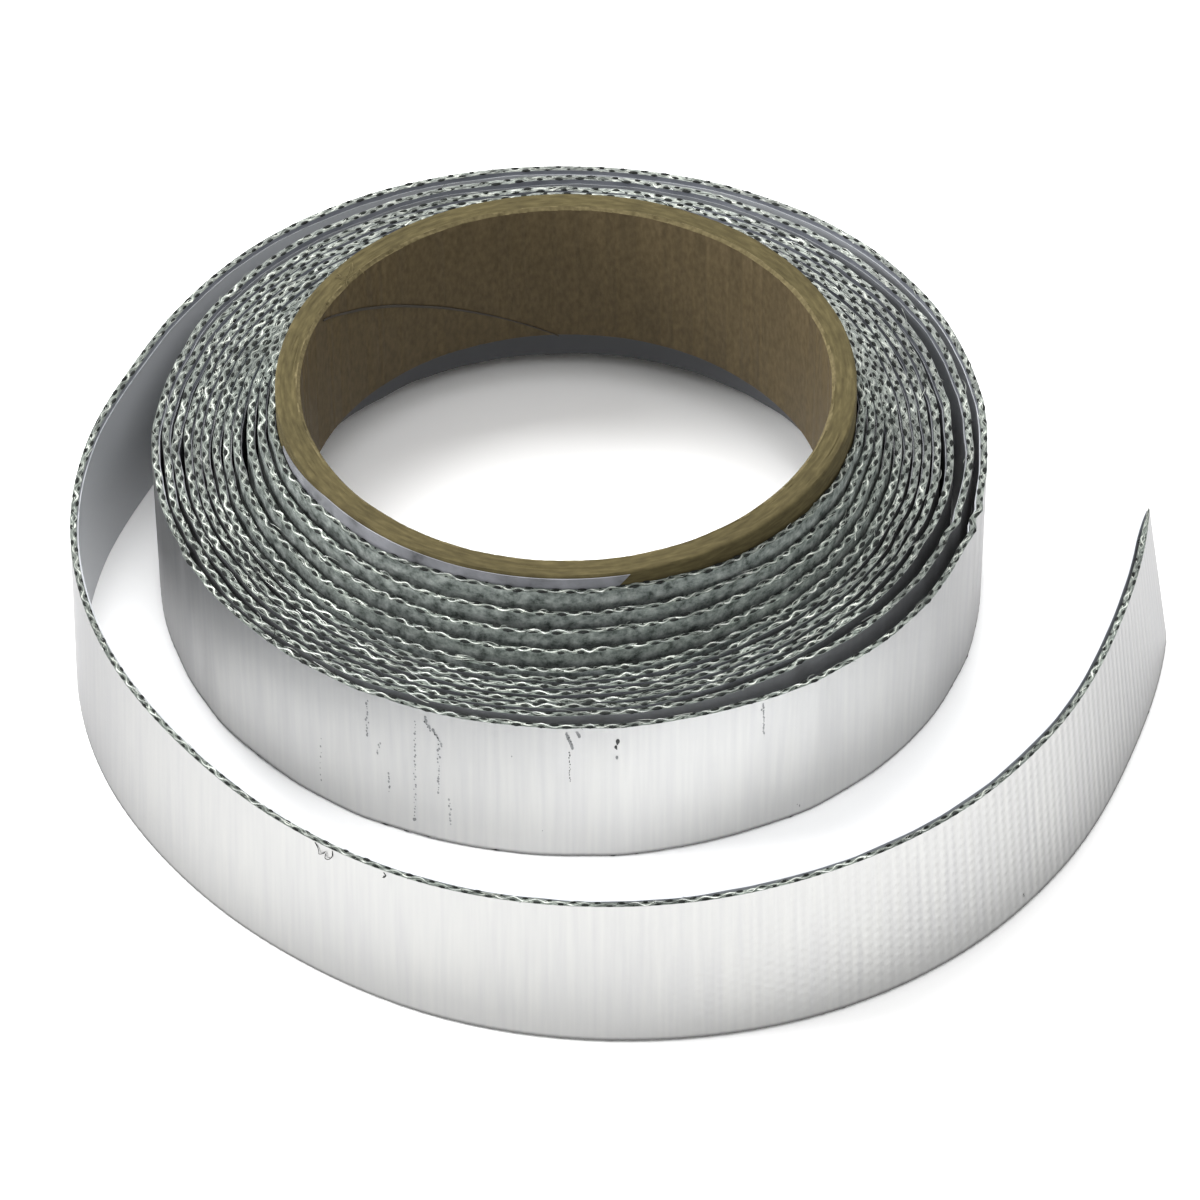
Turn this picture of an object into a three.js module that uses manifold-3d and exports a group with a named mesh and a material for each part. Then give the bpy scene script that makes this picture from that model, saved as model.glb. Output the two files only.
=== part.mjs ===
// Roll of aluminium fibreglass tape with a free tail, on a cardboard core.
// Millimetres, +Z up. The roll lies on its side, its axis is vertical.
import * as THREE from 'three';
import { mergeVertices } from 'three/addons/utils/BufferGeometryUtils.js';
import Module from 'manifold-3d';

// the tape
const tapeWidth = 25;
const tapeThickness = 1.0;
const turnThickness = 1.52;           // one turn of tape with its adhesive and liner
const packTurns = 11;                 // turns in the tight pack, without the loose outer turn
const turnGroove = 0.45;              // depth of the line between two level turns
const turnGrooveWidth = 0.5;

// the core and how far the roll has slid off it
const coreBore = 76.2;
const coreWall = 3.6;
const coreHeight = 25;
const coreLift = 11;                  // core's lower rim above the ground
const coreRimRadius = 0.4;            // softened edge of the rims
const coreClearance = 0.3;            // core to innermost turn
const slidTurns = 5;                  // inner turns that stand higher, one step each
const innermostFrontLift = 8;         // lower edge of the innermost turn above the ground, at the front
const innermostBackLift = 4.4;        // and at the back, where it has slid less

// the loose outer turn and the free tail stand off the pack, and the shapes give the share by angle
const looseSink = 0.5;                // the turn's outer face lies this deep in the pack where it starts
const looseStandOffDistance = 4.6;    // outer face to the pack where the turn becomes the tail
const looseStart = 150;               // degrees
const looseShape = [
  [190, 0.196],
  [230, 0.239],
  [275, 0.391],
  [305, 0.565],
  [330, 0.761],
  [350, 0.696],
  [370, 0.522],
  [405, 0.696],
  [435, 0.609],
  [470, 0.804],
  [495, 1.000],
];
const tailStandOffDistance = 39;      // outer face to the pack where the tail is farthest out
const tailShape = [
  [512, 0.138],
  [526, 0.174],
  [541, 0.274],
  [556, 0.387],
  [574, 0.528],
  [587, 0.623],
  [604, 0.759],
  [621, 0.895],
  [636, 0.969],
  [651, 1.000],
  [664, 0.974],
  [677, 0.908],
  [694, 0.805],
  [709.6, 0.767],
];
const tailLean = 3.9;                 // how far the free end's upper edge leans in
const tailLeanStart = 600;            // degrees, where the lean begins
const stripStep = 4;                  // degrees between two sections of the strip

// the release liner on the tail's inner face
const linerThickness = 0.3;
const linerClearance = 0.25;
const linerStart = 524;               // degrees
const linerEndInset = 2;              // degrees short of the tape's end

const roundSteps = 60;                // sides of the turned shapes

const coreInnerRadius = coreBore / 2;
const coreOuterRadius = coreInnerRadius + coreWall;
const packInnerRadius = coreOuterRadius + coreClearance;
const packOuterRadius = packInnerRadius + packTurns * turnThickness;
const tailEnd = tailShape[tailShape.length - 1][0];

function turned(points) {
  const closed = [...points, points[0]];
  const geometry = new THREE.LatheGeometry(closed, roundSteps);
  geometry.rotateX(Math.PI / 2);
  return geometry;
}

// share of the innermost turn's lift that turn k has
function liftShare(k) {
  return Math.max(0, slidTurns - k) / slidTurns;
}

// upper or lower outline of the wound pack, from the bore outwards, each point with its turn's lift share
function packEnd(side) {
  const points = [];
  const level = side > 0 ? tapeWidth : 0;
  for (let k = 0; k < packTurns; k++) {
    const inner = packInnerRadius + k * turnThickness;
    const outer = inner + turnThickness;
    const share = liftShare(k);
    const levelBefore = k > 0 && liftShare(k - 1) === share;
    const levelAfter = k < packTurns - 1 && liftShare(k + 1) === share;
    points.push({ r: inner + (levelBefore ? turnGrooveWidth / 2 : 0), z: level, share });
    points.push({ r: outer - (levelAfter ? turnGrooveWidth / 2 : 0), z: level, share });
    if (levelAfter) points.push({ r: outer, z: level - side * turnGroove, share });
  }
  return points;
}

// the pack is turned level, then its inner turns are lifted, more at the front (-Y) than at the back
function woundPack() {
  const outline = [...packEnd(-1), ...packEnd(1).reverse()];
  const geometry = turned(outline.map(({ r, z }) => new THREE.Vector2(r, z)));
  const position = geometry.getAttribute('position');
  const perSection = outline.length + 1;
  for (let i = 0; i < position.count; i++) {
    const { share } = outline[(i % perSection) % outline.length];
    const front = 0.5 - 0.5 * position.getY(i) / Math.hypot(position.getX(i), position.getY(i));
    const lift = THREE.MathUtils.lerp(innermostBackLift, innermostFrontLift, front);
    position.setZ(i, position.getZ(i) + share * lift);
  }
  return geometry;
}

// the strip's outer face, as radius by angle, through the values at the top
const stripKnots = [
  [looseStart, packOuterRadius - looseSink],
  ...looseShape.map(([angle, share]) => [angle, packOuterRadius + share * looseStandOffDistance]),
  ...tailShape.map(([angle, share]) => [angle, packOuterRadius + share * tailStandOffDistance]),
];
const stripCurve = new THREE.CatmullRomCurve3(
  stripKnots.map(([angle, radius]) => new THREE.Vector3(angle, radius, 0)), false, 'centripetal');

function stripRadius(angle) {
  let low = 0;
  let high = 1;
  for (let i = 0; i < 40; i++) {
    const middle = (low + high) / 2;
    if (stripCurve.getPoint(middle).x < angle) low = middle;
    else high = middle;
  }
  return stripCurve.getPoint((low + high) / 2).y;
}

function leanAt(angle) {
  const share = THREE.MathUtils.clamp((angle - tailLeanStart) / (tailEnd - tailLeanStart), 0, 1);
  return tailLean * share;
}

// a flat strip on edge, from one angle to another, between two depths below the outer face
function strip(from, to, outerDepth, innerDepth) {
  const steps = Math.ceil((to - from) / stripStep);
  const positions = [];
  const index = [];
  for (let i = 0; i <= steps; i++) {
    const angle = from + (to - from) * i / steps;
    const turn = THREE.MathUtils.degToRad(angle);
    const radius = stripRadius(angle);
    const lean = leanAt(angle);
    const corners = [
      [radius - outerDepth, 0],
      [radius - outerDepth - lean, tapeWidth],
      [radius - innerDepth - lean, tapeWidth],
      [radius - innerDepth, 0],
    ];
    for (const [r, z] of corners) positions.push(r * Math.cos(turn), r * Math.sin(turn), z);
  }
  for (let i = 0; i < steps; i++) {
    for (let j = 0; j < 4; j++) {
      const a = 4 * i + j;
      const b = 4 * i + (j + 1) % 4;
      index.push(a, a + 4, b, b, a + 4, b + 4);
    }
  }
  const last = 4 * steps;
  index.push(0, 1, 2, 0, 2, 3);
  index.push(last, last + 2, last + 1, last, last + 3, last + 2);
  const geometry = new THREE.BufferGeometry();
  geometry.setAttribute('position', new THREE.Float32BufferAttribute(positions, 3));
  geometry.setIndex(index);
  return geometry;
}

const wasm = await Module();
wasm.setup();

function toSolid(geometry) {
  const bare = new THREE.BufferGeometry();
  bare.setAttribute('position', geometry.getAttribute('position').clone());
  bare.setIndex(geometry.getIndex());
  const merged = mergeVertices(bare, 1e-4);
  const solid = new wasm.Manifold(new wasm.Mesh({
    numProp: 3,
    vertProperties: new Float32Array(merged.getAttribute('position').array),
    triVerts: new Uint32Array(merged.getIndex().array),
  }));
  return solid;
}

function toGeometry(solid) {
  const mesh = solid.getMesh();
  const geometry = new THREE.BufferGeometry();
  geometry.setAttribute('position', new THREE.BufferAttribute(mesh.vertProperties, 3));
  geometry.setIndex(new THREE.BufferAttribute(mesh.triVerts, 1));
  geometry.computeVertexNormals();
  return geometry;
}

const group = new THREE.Group();

function add(name, geometry, color, roughness, metalness) {
  const material = new THREE.MeshStandardMaterial({ color, roughness, metalness });
  const mesh = new THREE.Mesh(geometry, material);
  mesh.name = name;
  group.add(mesh);
}

// core, with softened rims
const low = coreLift;
const high = coreLift + coreHeight;
add('core', turned([
  new THREE.Vector2(coreInnerRadius, low + coreRimRadius),
  new THREE.Vector2(coreInnerRadius + coreRimRadius, low),
  new THREE.Vector2(coreOuterRadius - coreRimRadius, low),
  new THREE.Vector2(coreOuterRadius, low + coreRimRadius),
  new THREE.Vector2(coreOuterRadius, high - coreRimRadius),
  new THREE.Vector2(coreOuterRadius - coreRimRadius, high),
  new THREE.Vector2(coreInnerRadius + coreRimRadius, high),
  new THREE.Vector2(coreInnerRadius, high - coreRimRadius),
]), '#8a7c5c', 0.9, 0);

// wound pack, the loose outer turn and the tail, as one strip of tape
const looseTurnAndTail = strip(looseStart, tailEnd, 0, tapeThickness);
add('tape', toGeometry(toSolid(woundPack()).add(toSolid(looseTurnAndTail))), '#c9cbcd', 0.3, 0.85);

// release liner
const linerDepth = tapeThickness + linerClearance;
add('release_liner', strip(linerStart, tailEnd - linerEndInset, linerDepth, linerDepth + linerThickness),
  '#a9abb2', 0.45, 0);

// origin at the middle of the footprint, on the ground
const box = new THREE.Box3().setFromObject(group);
const middle = box.getCenter(new THREE.Vector3());
for (const mesh of group.children) mesh.position.set(-middle.x, -middle.y, -box.min.z);

export default group;
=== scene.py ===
import math
import random

import bpy
import numpy as np
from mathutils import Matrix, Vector, noise


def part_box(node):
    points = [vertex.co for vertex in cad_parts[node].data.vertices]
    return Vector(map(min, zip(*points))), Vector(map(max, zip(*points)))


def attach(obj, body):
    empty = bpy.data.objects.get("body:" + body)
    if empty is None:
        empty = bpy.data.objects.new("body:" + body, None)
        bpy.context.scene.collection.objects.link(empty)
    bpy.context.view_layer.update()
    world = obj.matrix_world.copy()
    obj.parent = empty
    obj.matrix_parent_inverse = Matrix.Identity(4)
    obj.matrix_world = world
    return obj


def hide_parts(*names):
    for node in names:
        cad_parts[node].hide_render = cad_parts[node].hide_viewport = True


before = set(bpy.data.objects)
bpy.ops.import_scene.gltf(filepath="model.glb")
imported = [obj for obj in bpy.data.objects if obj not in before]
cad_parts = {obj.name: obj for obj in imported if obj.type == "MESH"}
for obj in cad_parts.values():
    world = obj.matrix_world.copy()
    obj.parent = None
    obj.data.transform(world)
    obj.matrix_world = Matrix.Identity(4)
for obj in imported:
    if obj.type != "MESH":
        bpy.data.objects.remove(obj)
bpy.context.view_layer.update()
mm = 0.001
coreLow, coreHigh = (Vector(corner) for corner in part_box("core"))
rollAxis = (coreLow + coreHigh) / 2  # everything is wound round this upright axis
rollAxis.z = 0
print("frame loaded, roll axis at", tuple(round(v, 4) for v in rollAxis))


# camera, at the photograph's angle

view = {
    "elevation": 43.135,
    "distance": 897.76 * mm,
    "lens": 188.04,  # 6268 px of focal length across 1200 px
    "aimFromAxis": (4.86 * mm, -21.44 * mm, 12.5 * mm),
}

aim = rollAxis + Vector(view["aimFromAxis"])
rise = math.radians(view["elevation"])
cameraData = bpy.data.cameras.new("photoCamera")
cameraData.lens = view["lens"]
cameraData.sensor_width = 36
camera = bpy.data.objects.new("photoCamera", cameraData)
camera.location = aim + view["distance"] * Vector((0, -math.cos(rise), math.sin(rise)))
camera.rotation_euler = (math.pi / 2 - rise, 0, 0)
bpy.context.scene.collection.objects.link(camera)
bpy.context.scene.camera = camera


# small helpers

def deselectAll():
    if bpy.context.object and bpy.context.object.mode != "OBJECT":
        bpy.ops.object.mode_set(mode="OBJECT")
    bpy.ops.object.select_all(action="DESELECT")


def nameIt(name):
    piece = bpy.context.object
    piece.name = name
    piece.data.name = name
    return piece


def pick(piece):
    deselectAll()
    bpy.context.view_layer.objects.active = piece
    piece.select_set(True)


def settle(piece):
    pick(piece)
    bpy.ops.object.transform_apply(location=True, rotation=True, scale=True)
    piece.select_set(False)


def applyAll(piece):
    pick(piece)
    for modifier in list(piece.modifiers):
        bpy.ops.object.modifier_apply(modifier=modifier.name)
    piece.select_set(False)


def closeShell(piece, fillHoles=True):
    pick(piece)
    bpy.ops.object.mode_set(mode="EDIT")
    bpy.ops.mesh.select_mode(type="VERT")
    bpy.ops.mesh.select_all(action="SELECT")
    if fillHoles:
        bpy.ops.mesh.fill_holes(sides=0)
    bpy.ops.mesh.normals_make_consistent(inside=False)
    bpy.ops.object.mode_set(mode="OBJECT")


def readPoints(piece):
    points = np.empty(len(piece.data.vertices) * 3)
    piece.data.vertices.foreach_get("co", points)
    return points.reshape(-1, 3)


def writePoints(piece, points):
    piece.data.vertices.foreach_set("co", np.ascontiguousarray(points).ravel())
    piece.data.update()


def wobble(x, seed, *waves):
    draw = random.Random(seed)
    total = np.zeros_like(x)
    for wavelength, height in waves:
        for share in (1.0, 0.63, 0.41):
            shift = draw.uniform(0, 2 * math.pi)
            total += height * share * np.sin(2 * np.pi * x / (wavelength * share) + shift)
    return total


# woven strip. In the flat, x runs along it, y is the depth below its foil face and z is up

cloth = {
    "width": 24.8 * mm,
    "thickness": 0.97 * mm,
    "weftPitch": 1.65 * mm,  # one weft yarn, two make the weave repeat
    "rib": 0.014 * mm,  # how far the foil follows each weft
    "lip": 0.05 * mm,  # foil stands this much over the cut cloth
    "rows": 8,  # divisions up the foil face
    "columns": 4,  # and along each weave repeat
    "yarnRadius": 0.125 * mm,
    "yarnSwing": 0.27 * mm,
    "yarnDepth": 0.53 * mm,
    "yarnInset": 0.06 * mm,  # its middle, from the cut edge
    "swingChange": 0.28,  # share by which its swing comes and goes, within the limits
    "swingLimits": (0.45, 1.45),
    "strandRadius": 0.085 * mm,  # a loose strand runs the other way round each weft
    "strandRise": 0.05 * mm,  # and stands out a little beyond the yarn
    "eyeSize": (0.7 * mm, 0.27 * mm, 0.17 * mm),
    "eyeDepths": (0.26 * mm, 0.8 * mm),
    "eyeRise": 0.03 * mm,
    "eyeSizes": (0.75, 1.15),  # least and greatest, as shares
    "eyeShy": (0.1, 0.4),  # share of them that hardly shows, and their size
    "eyeScatter": (0.035 * mm, 0.03 * mm),  # in depth and height
    # places along the tail, and how large the eyes are there
    "eyeOnTail": ((520, 580, 701, 703), (1, 0.82, 0.82, 0.35)),
    # the free end is pinched: over this length, by this share, and by less of it low down
    "pinchLength": 9 * mm,
    "pinch": 0.75,
    "pinchLow": 0.3,
}

# winding path: the lower edge of the tape's outer face, from the core out to the free end.
# Angles are anticlockwise seen from above and count on through every turn.

winding = {
    "start": -3800,
    "end": 709.6,
    "step": 1.0,
    # radius of the outer face in mm at eight places round the roll, from the outermost turn in
    "turns": {
        180: (59.75, 58.2, 56.6, 55.1, 53.8, 52.4, 51.0, 49.5, 47.9, 46.1, 44.45, 42.9),
        225: (59.85, 58.15, 56.6, 55.15, 53.75, 52.35, 50.95, 49.4, 47.8, 46.1, 44.5, 42.85),
        270: (60.6, 58.4, 57.0, 55.65, 54.3, 52.9, 51.5, 50.0, 48.25, 46.4, 44.6, 42.85),
        315: (62.0, 58.35, 56.1, 54.5, 53.0, 51.55, 50.1, 48.65, 47.2, 45.75, 44.3, 42.9),
        360: (60.9, 58.85, 56.0, 54.2, 52.7, 51.2, 49.8, 48.4, 47.0, 45.65, 44.3, 43.0),
        405: (61.95, 58.8, 56.1, 54.6, 53.2, 51.8, 50.4, 49.0, 47.6, 46.15, 44.7, 43.25),
        450: (61.55, 59.0, 56.6, 55.1, 53.7, 52.25, 50.8, 49.35, 47.9, 46.4, 44.9, 43.4),
        495: (63.3, 59.4, 57.1, 55.7, 54.3, 52.9, 51.5, 50.1, 48.6, 47.0, 45.4, 43.85),
    },
    "tail": [(512, 64.1), (526, 65.5), (541, 69.4), (556, 73.8), (574, 79.3), (587, 83.0), (604, 88.3),
             (621, 93.6), (636, 96.5), (651, 97.7), (664, 96.7), (677, 94.1), (694, 90.1), (709.6, 88.6)],
    # short dents of the upper edge: place, how far out in mm, and spread in degrees
    "kinks": [(203, -0.2, 1.6), (206, 0.15, 1.4), (341, 0.3, 1.4), (343, -0.5, 1.0), (344.7, 0.4, 1.2),
              (-21, -0.3, 1.5), (-18, 0.3, 1.2), (-54, -0.45, 1.6), (-155, -0.4, 1.6), (-537, 0.4, 2.0)],
    # how far the inner turns have slid up with the core at the front, in mm
    "slid": [(-3690, 8.7), (-3330, 6.2), (-2970, 4.3), (-2610, 2.4), (-2250, 0.6), (-1890, 0.1), (-1600, 0)],
    "slidBack": 0.55,  # share of it at the back
    # how far the upper edge leans in on the tail, in mm
    "lean": [(500, 0), (556, 0.5), (574, 1.1), (590, 1.3), (610, 0.5), (628, 0.9), (640, 1.6),
             (650, 2.5), (670, 2.9), (690, 3.0), (709.6, 4.0)],
    "tailLift": [(480, 0), (620, 0.3), (709.6, 0.4)],
    "loosens": (280, 480),  # angles over which the unevenness of the wound turns dies away
    # dents that run on through neighbouring turns: waves round the roll, depth in mm, drift by turn
    "dentWaves": (7, 11, 17, 29),
    "dentDepth": 0.05,
    "dentDrift": 0.35,
    # unevenness as pairs of wavelength in degrees and height in mm
    "radiusWobble": ((9, 0.02), (31, 0.025)),
    "heightWobble": ((37, 0.05), (110, 0.07), (400, 0.08)),
    "leanWobble": ((7, 0.03), (23, 0.05), (90, 0.07)),
    "packHeight": 0.22,  # how high the turns stand on average, and the least, in mm
    "leastHeight": 0.1,
}


def windingKnots():
    knots = list(winding["tail"])
    for place, radii in winding["turns"].items():
        knots += [(place - 360 * turn, radius) for turn, radius in enumerate(radii)]
    return sorted(knots)


def knotCurve(knots, at):
    places = np.array([k[0] for k in knots], float)
    values = np.array([k[1] for k in knots], float)
    slopes = np.gradient(values, places)
    at = np.clip(at, places[0], places[-1])
    i = np.clip(np.searchsorted(places, at, side="right") - 1, 0, len(places) - 2)
    span = places[i + 1] - places[i]
    t = (at - places[i]) / span
    return (
        values[i] * (2 * t**3 - 3 * t**2 + 1)
        + slopes[i] * span * (t**3 - 2 * t**2 + t)
        + values[i + 1] * (3 * t**2 - 2 * t**3)
        + slopes[i + 1] * span * (t**3 - t**2)
    )


def makeWindingPath():
    draw = random.Random(4)
    steps = round((winding["end"] - winding["start"]) / winding["step"])
    angles = np.linspace(winding["start"], winding["end"], steps + 1)
    radius = knotCurve(windingKnots(), angles)
    loosenFrom, loosenTo = winding["loosens"]
    packed = np.clip((loosenTo - angles) / (loosenTo - loosenFrom), 0, 1)  # 1 in the roll, 0 on the tail
    around = np.radians(angles)
    turn = (angles - winding["start"]) / 360
    for waves in winding["dentWaves"]:
        shift = winding["dentDrift"] * turn + draw.uniform(0, 6)
        radius += packed * winding["dentDepth"] * np.sin(waves * around + shift)
    radius += packed * wobble(angles, 11, *winding["radiusWobble"])
    front = 0.5 - 0.5 * np.sin(around)
    slid = knotCurve(winding["slid"], angles) * (winding["slidBack"] + (1 - winding["slidBack"]) * front)
    heave = winding["packHeight"] + wobble(angles, 12, *winding["heightWobble"])
    height = slid + packed * heave + knotCurve(winding["tailLift"], angles)
    height = np.maximum(height, winding["leastHeight"])
    lean = knotCurve(winding["lean"], angles)
    for place, depth, spread in winding["kinks"]:
        lean -= depth * np.exp(-(((angles - place) / spread) ** 2))
    lean += packed * wobble(angles, 13, *winding["leanWobble"])
    tilt = -np.arctan(lean * mm / cloth["width"])
    curve = bpy.data.curves.new("windingPath", "CURVE")
    curve.dimensions = "3D"
    curve.twist_mode = "Z_UP"
    curve.use_path = True
    curve.use_deform_bounds = False
    spline = curve.splines.new("POLY")
    spline.points.add(len(angles) - 1)
    x = rollAxis.x + radius * mm * np.cos(np.radians(angles))
    y = rollAxis.y + radius * mm * np.sin(np.radians(angles))
    flat = np.stack([x, y, height * mm, np.ones_like(x)], axis=1)
    spline.points.foreach_set("co", flat.ravel())
    spline.points.foreach_set("tilt", tilt)
    path = bpy.data.objects.new("windingPath", curve)
    bpy.context.scene.collection.objects.link(path)
    lengths = np.concatenate([[0], np.cumsum(np.linalg.norm(np.diff(flat[:, :3], axis=0), axis=1))])
    return path, float(lengths[-1]), angles, lengths


windingPath, tapeLength, pathAngles, pathLengths = makeWindingPath()
print("winding path", round(tapeLength, 3), "m long")


def along(angle):
    return float(np.interp(angle, pathAngles, pathLengths))


def windOn(piece):
    bend = piece.modifiers.new("windOn", "CURVE")
    bend.object = windingPath
    bend.deform_axis = "POS_X"
    applyAll(piece)
    points = readPoints(piece)
    points[:, 2] = np.maximum(points[:, 2], 0)  # nothing reaches below the ground
    writePoints(piece, points)


def repeatAlong(piece, count, pitch, merge=True):
    row = piece.modifiers.new("row", "ARRAY")
    row.count = count
    row.use_relative_offset = False
    row.use_constant_offset = True
    row.constant_offset_displace = (pitch, 0, 0)
    row.use_merge_vertices = merge
    row.merge_threshold = 0.01 * mm
    applyAll(piece)


clothCells = round(tapeLength / (2 * cloth["weftPitch"]))
clothCell = tapeLength / clothCells


def stripUv(piece):
    points = readPoints(piece)
    layer = piece.data.uv_layers.get("stripMap") or piece.data.uv_layers.new(name="stripMap")
    loops = np.empty(len(piece.data.loops), dtype=np.int32)
    piece.data.loops.foreach_get("vertex_index", loops)
    layer.data.foreach_set("uv", points[loops][:, [0, 2]].astype(np.float32).ravel())
    piece.data.uv_layers.active = layer


def makeTape():
    deselectAll()
    bpy.ops.mesh.primitive_plane_add(size=1, location=(0, 0, 0))
    body = nameIt("tapeStrip")
    column = clothCell / cloth["columns"]
    width = cloth["width"]
    thick = cloth["thickness"]
    bpy.ops.object.mode_set(mode="EDIT")
    bpy.ops.mesh.select_all(action="SELECT")
    bpy.ops.mesh.delete(type="VERT")
    bpy.ops.object.mode_set(mode="OBJECT")
    # ring round the section: foil face, upper cut edge, inner face, lower cut edge
    ring = [(0, width * k / cloth["rows"]) for k in range(cloth["rows"] + 1)]
    lip = cloth["lip"]
    ring += [(0.1 * thick, width - 0.25 * lip), (0.2 * thick, width - lip), (0.95 * thick, width - lip)]
    ring += [(thick, width - 1.6 * lip), (thick, width * 0.5), (thick, 1.6 * lip)]
    ring += [(0.95 * thick, lip), (0.2 * thick, lip), (0.1 * thick, 0.25 * lip)]
    edges = [(i, (i + 1) % len(ring)) for i in range(len(ring))]
    body.data.from_pydata([(0, y, z) for y, z in ring], edges, [])
    bpy.ops.object.mode_set(mode="EDIT")
    bpy.ops.mesh.select_all(action="SELECT")
    for step in range(cloth["columns"]):
        bpy.ops.mesh.extrude_region_move(TRANSFORM_OT_translate={"value": (column, 0, 0)})
    bpy.ops.object.mode_set(mode="OBJECT")
    points = readPoints(body)
    outside = points[:, 1] < 0.15 * thick
    phase = np.cos(2 * np.pi * points[:, 0] / (clothCell / 2))
    points[outside, 1] -= cloth["rib"] * (phase[outside] - 1)
    writePoints(body, points)
    repeatAlong(body, clothCells, clothCell)
    closeShell(body)
    stripUv(body)
    return body


def taperEnd(piece):
    points = readPoints(piece)
    length = cloth["pinchLength"]
    near = np.clip((points[:, 0] - (tapeLength - length)) / length, 0, 1) ** 2
    high = np.clip(points[:, 2] / cloth["width"], cloth["pinchLow"], 1)
    points[:, 1] = points[:, 1] * (1 - cloth["pinch"] * near * high)
    writePoints(piece, points)


def splitBySide(body):
    # foil face, cut edges and sticky face each have a material of their own
    points = readPoints(body)
    thick = cloth["thickness"]
    for face in body.data.polygons:
        ys = [points[v][1] for v in face.vertices]
        zs = [points[v][2] for v in face.vertices]
        outer = max(ys) < 0.08 * thick
        inner = min(ys) > 0.9 * thick and max(zs) - min(zs) > 2 * mm
        face.material_index = 0 if outer else 2 if inner else 1


def makeYarn(name, height, seed, radius, side, sides, steps):
    deselectAll()
    bpy.ops.mesh.primitive_circle_add(
        vertices=sides, radius=radius, fill_type="NOTHING", location=(0, 0, 0), rotation=(0, math.pi / 2, 0))
    yarn = nameIt(name)
    settle(yarn)
    bpy.ops.object.mode_set(mode="EDIT")
    bpy.ops.mesh.select_all(action="SELECT")
    bpy.ops.transform.translate(value=(0, cloth["yarnDepth"] + side * cloth["yarnSwing"], height))
    swing = [side * math.cos(2 * math.pi * k / steps) for k in range(steps + 1)]
    for k in range(steps):
        aside = cloth["yarnSwing"] * (swing[k + 1] - swing[k])
        bpy.ops.mesh.extrude_region_move(TRANSFORM_OT_translate={"value": (clothCell / steps, aside, 0)})
    bpy.ops.object.mode_set(mode="OBJECT")
    repeatAlong(yarn, clothCells, clothCell)
    points = readPoints(yarn)
    x = points[:, 0].copy()
    wild = 1 + cloth["swingChange"] * wobble(x, seed, (0.0083, 0.6), (0.023, 0.6))
    wild = np.clip(wild, *cloth["swingLimits"])
    points[:, 1] = cloth["yarnDepth"] + (points[:, 1] - cloth["yarnDepth"]) * wild
    points[:, 0] += wobble(x, seed + 3, (0.0071, 0.1 * mm), (0.029, 0.12 * mm))
    points[:, 2] += wobble(x, seed + 1, (0.0061, 0.03 * mm), (0.0203, 0.035 * mm))
    writePoints(yarn, points)
    closeShell(yarn)
    stripUv(yarn)
    return yarn


def makeWeftEnds(name, height, seed):
    ends = []
    for k, depth in enumerate(cloth["eyeDepths"]):
        deselectAll()
        bpy.ops.mesh.primitive_uv_sphere_add(
            segments=8, ring_count=4, radius=1,
            location=(0.5 * k * clothCell, depth, height),
            scale=cloth["eyeSize"],
        )
        end = nameIt(f"{name}{k}")
        settle(end)
        ends.append(end)
    deselectAll()
    for end in ends:
        end.select_set(True)
    bpy.context.view_layer.objects.active = ends[0]
    bpy.ops.object.join()
    end = nameIt(name)
    repeatAlong(end, clothCells, clothCell, merge=False)
    points = readPoints(end)
    x = points[:, 0]
    half = clothCell / 2
    count = 2 * clothCells
    which = np.clip(np.round(x / half).astype(int), 0, count - 1)
    draw = np.random.default_rng(seed)
    size = draw.uniform(*cloth["eyeSizes"], count)
    shyShare, shySize = cloth["eyeShy"]
    size[draw.random(count) < shyShare] = shySize
    tailPlaces, tailSizes = cloth["eyeOnTail"]
    size *= np.interp(np.arange(count) * half, [along(angle) for angle in tailPlaces], tailSizes)
    aside = draw.normal(0, cloth["eyeScatter"][0], count)
    up = draw.normal(0, cloth["eyeScatter"][1], count)
    middleX = which * half
    middleY = np.where(which % 2 == 0, *cloth["eyeDepths"])
    points[:, 0] = middleX + (x - middleX) * size[which]
    points[:, 1] = middleY + (points[:, 1] - middleY) * size[which] + aside[which]
    points[:, 2] += up[which]
    writePoints(end, points)
    stripUv(end)
    return end


liner = {
    "thickness": 0.18 * mm,
    "gap": 0.03 * mm,
    "low": -0.3 * mm,
    "high": 24.0 * mm,
    # on the tail it reaches up further and is thicker
    "tailFrom": (540, 600),
    "tailRise": 0.7 * mm,
    "tailThicker": 0.17 * mm,
    # near the free end it stands off the tape's upper edge
    "looseFrom": (612, 650),
    "looseBy": 0.45 * mm,
    # painted shade: dark in the roll, where the film shows only in the shaded lines between the turns and
    # under the core, and pale on the tail
    "paintedShadeFrom": (-2500, 470),
    "paintedShadeTones": [(0.0, "#34363a"), (0.75, "#65686c"), (1.0, "#a3a6aa")],
}


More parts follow.
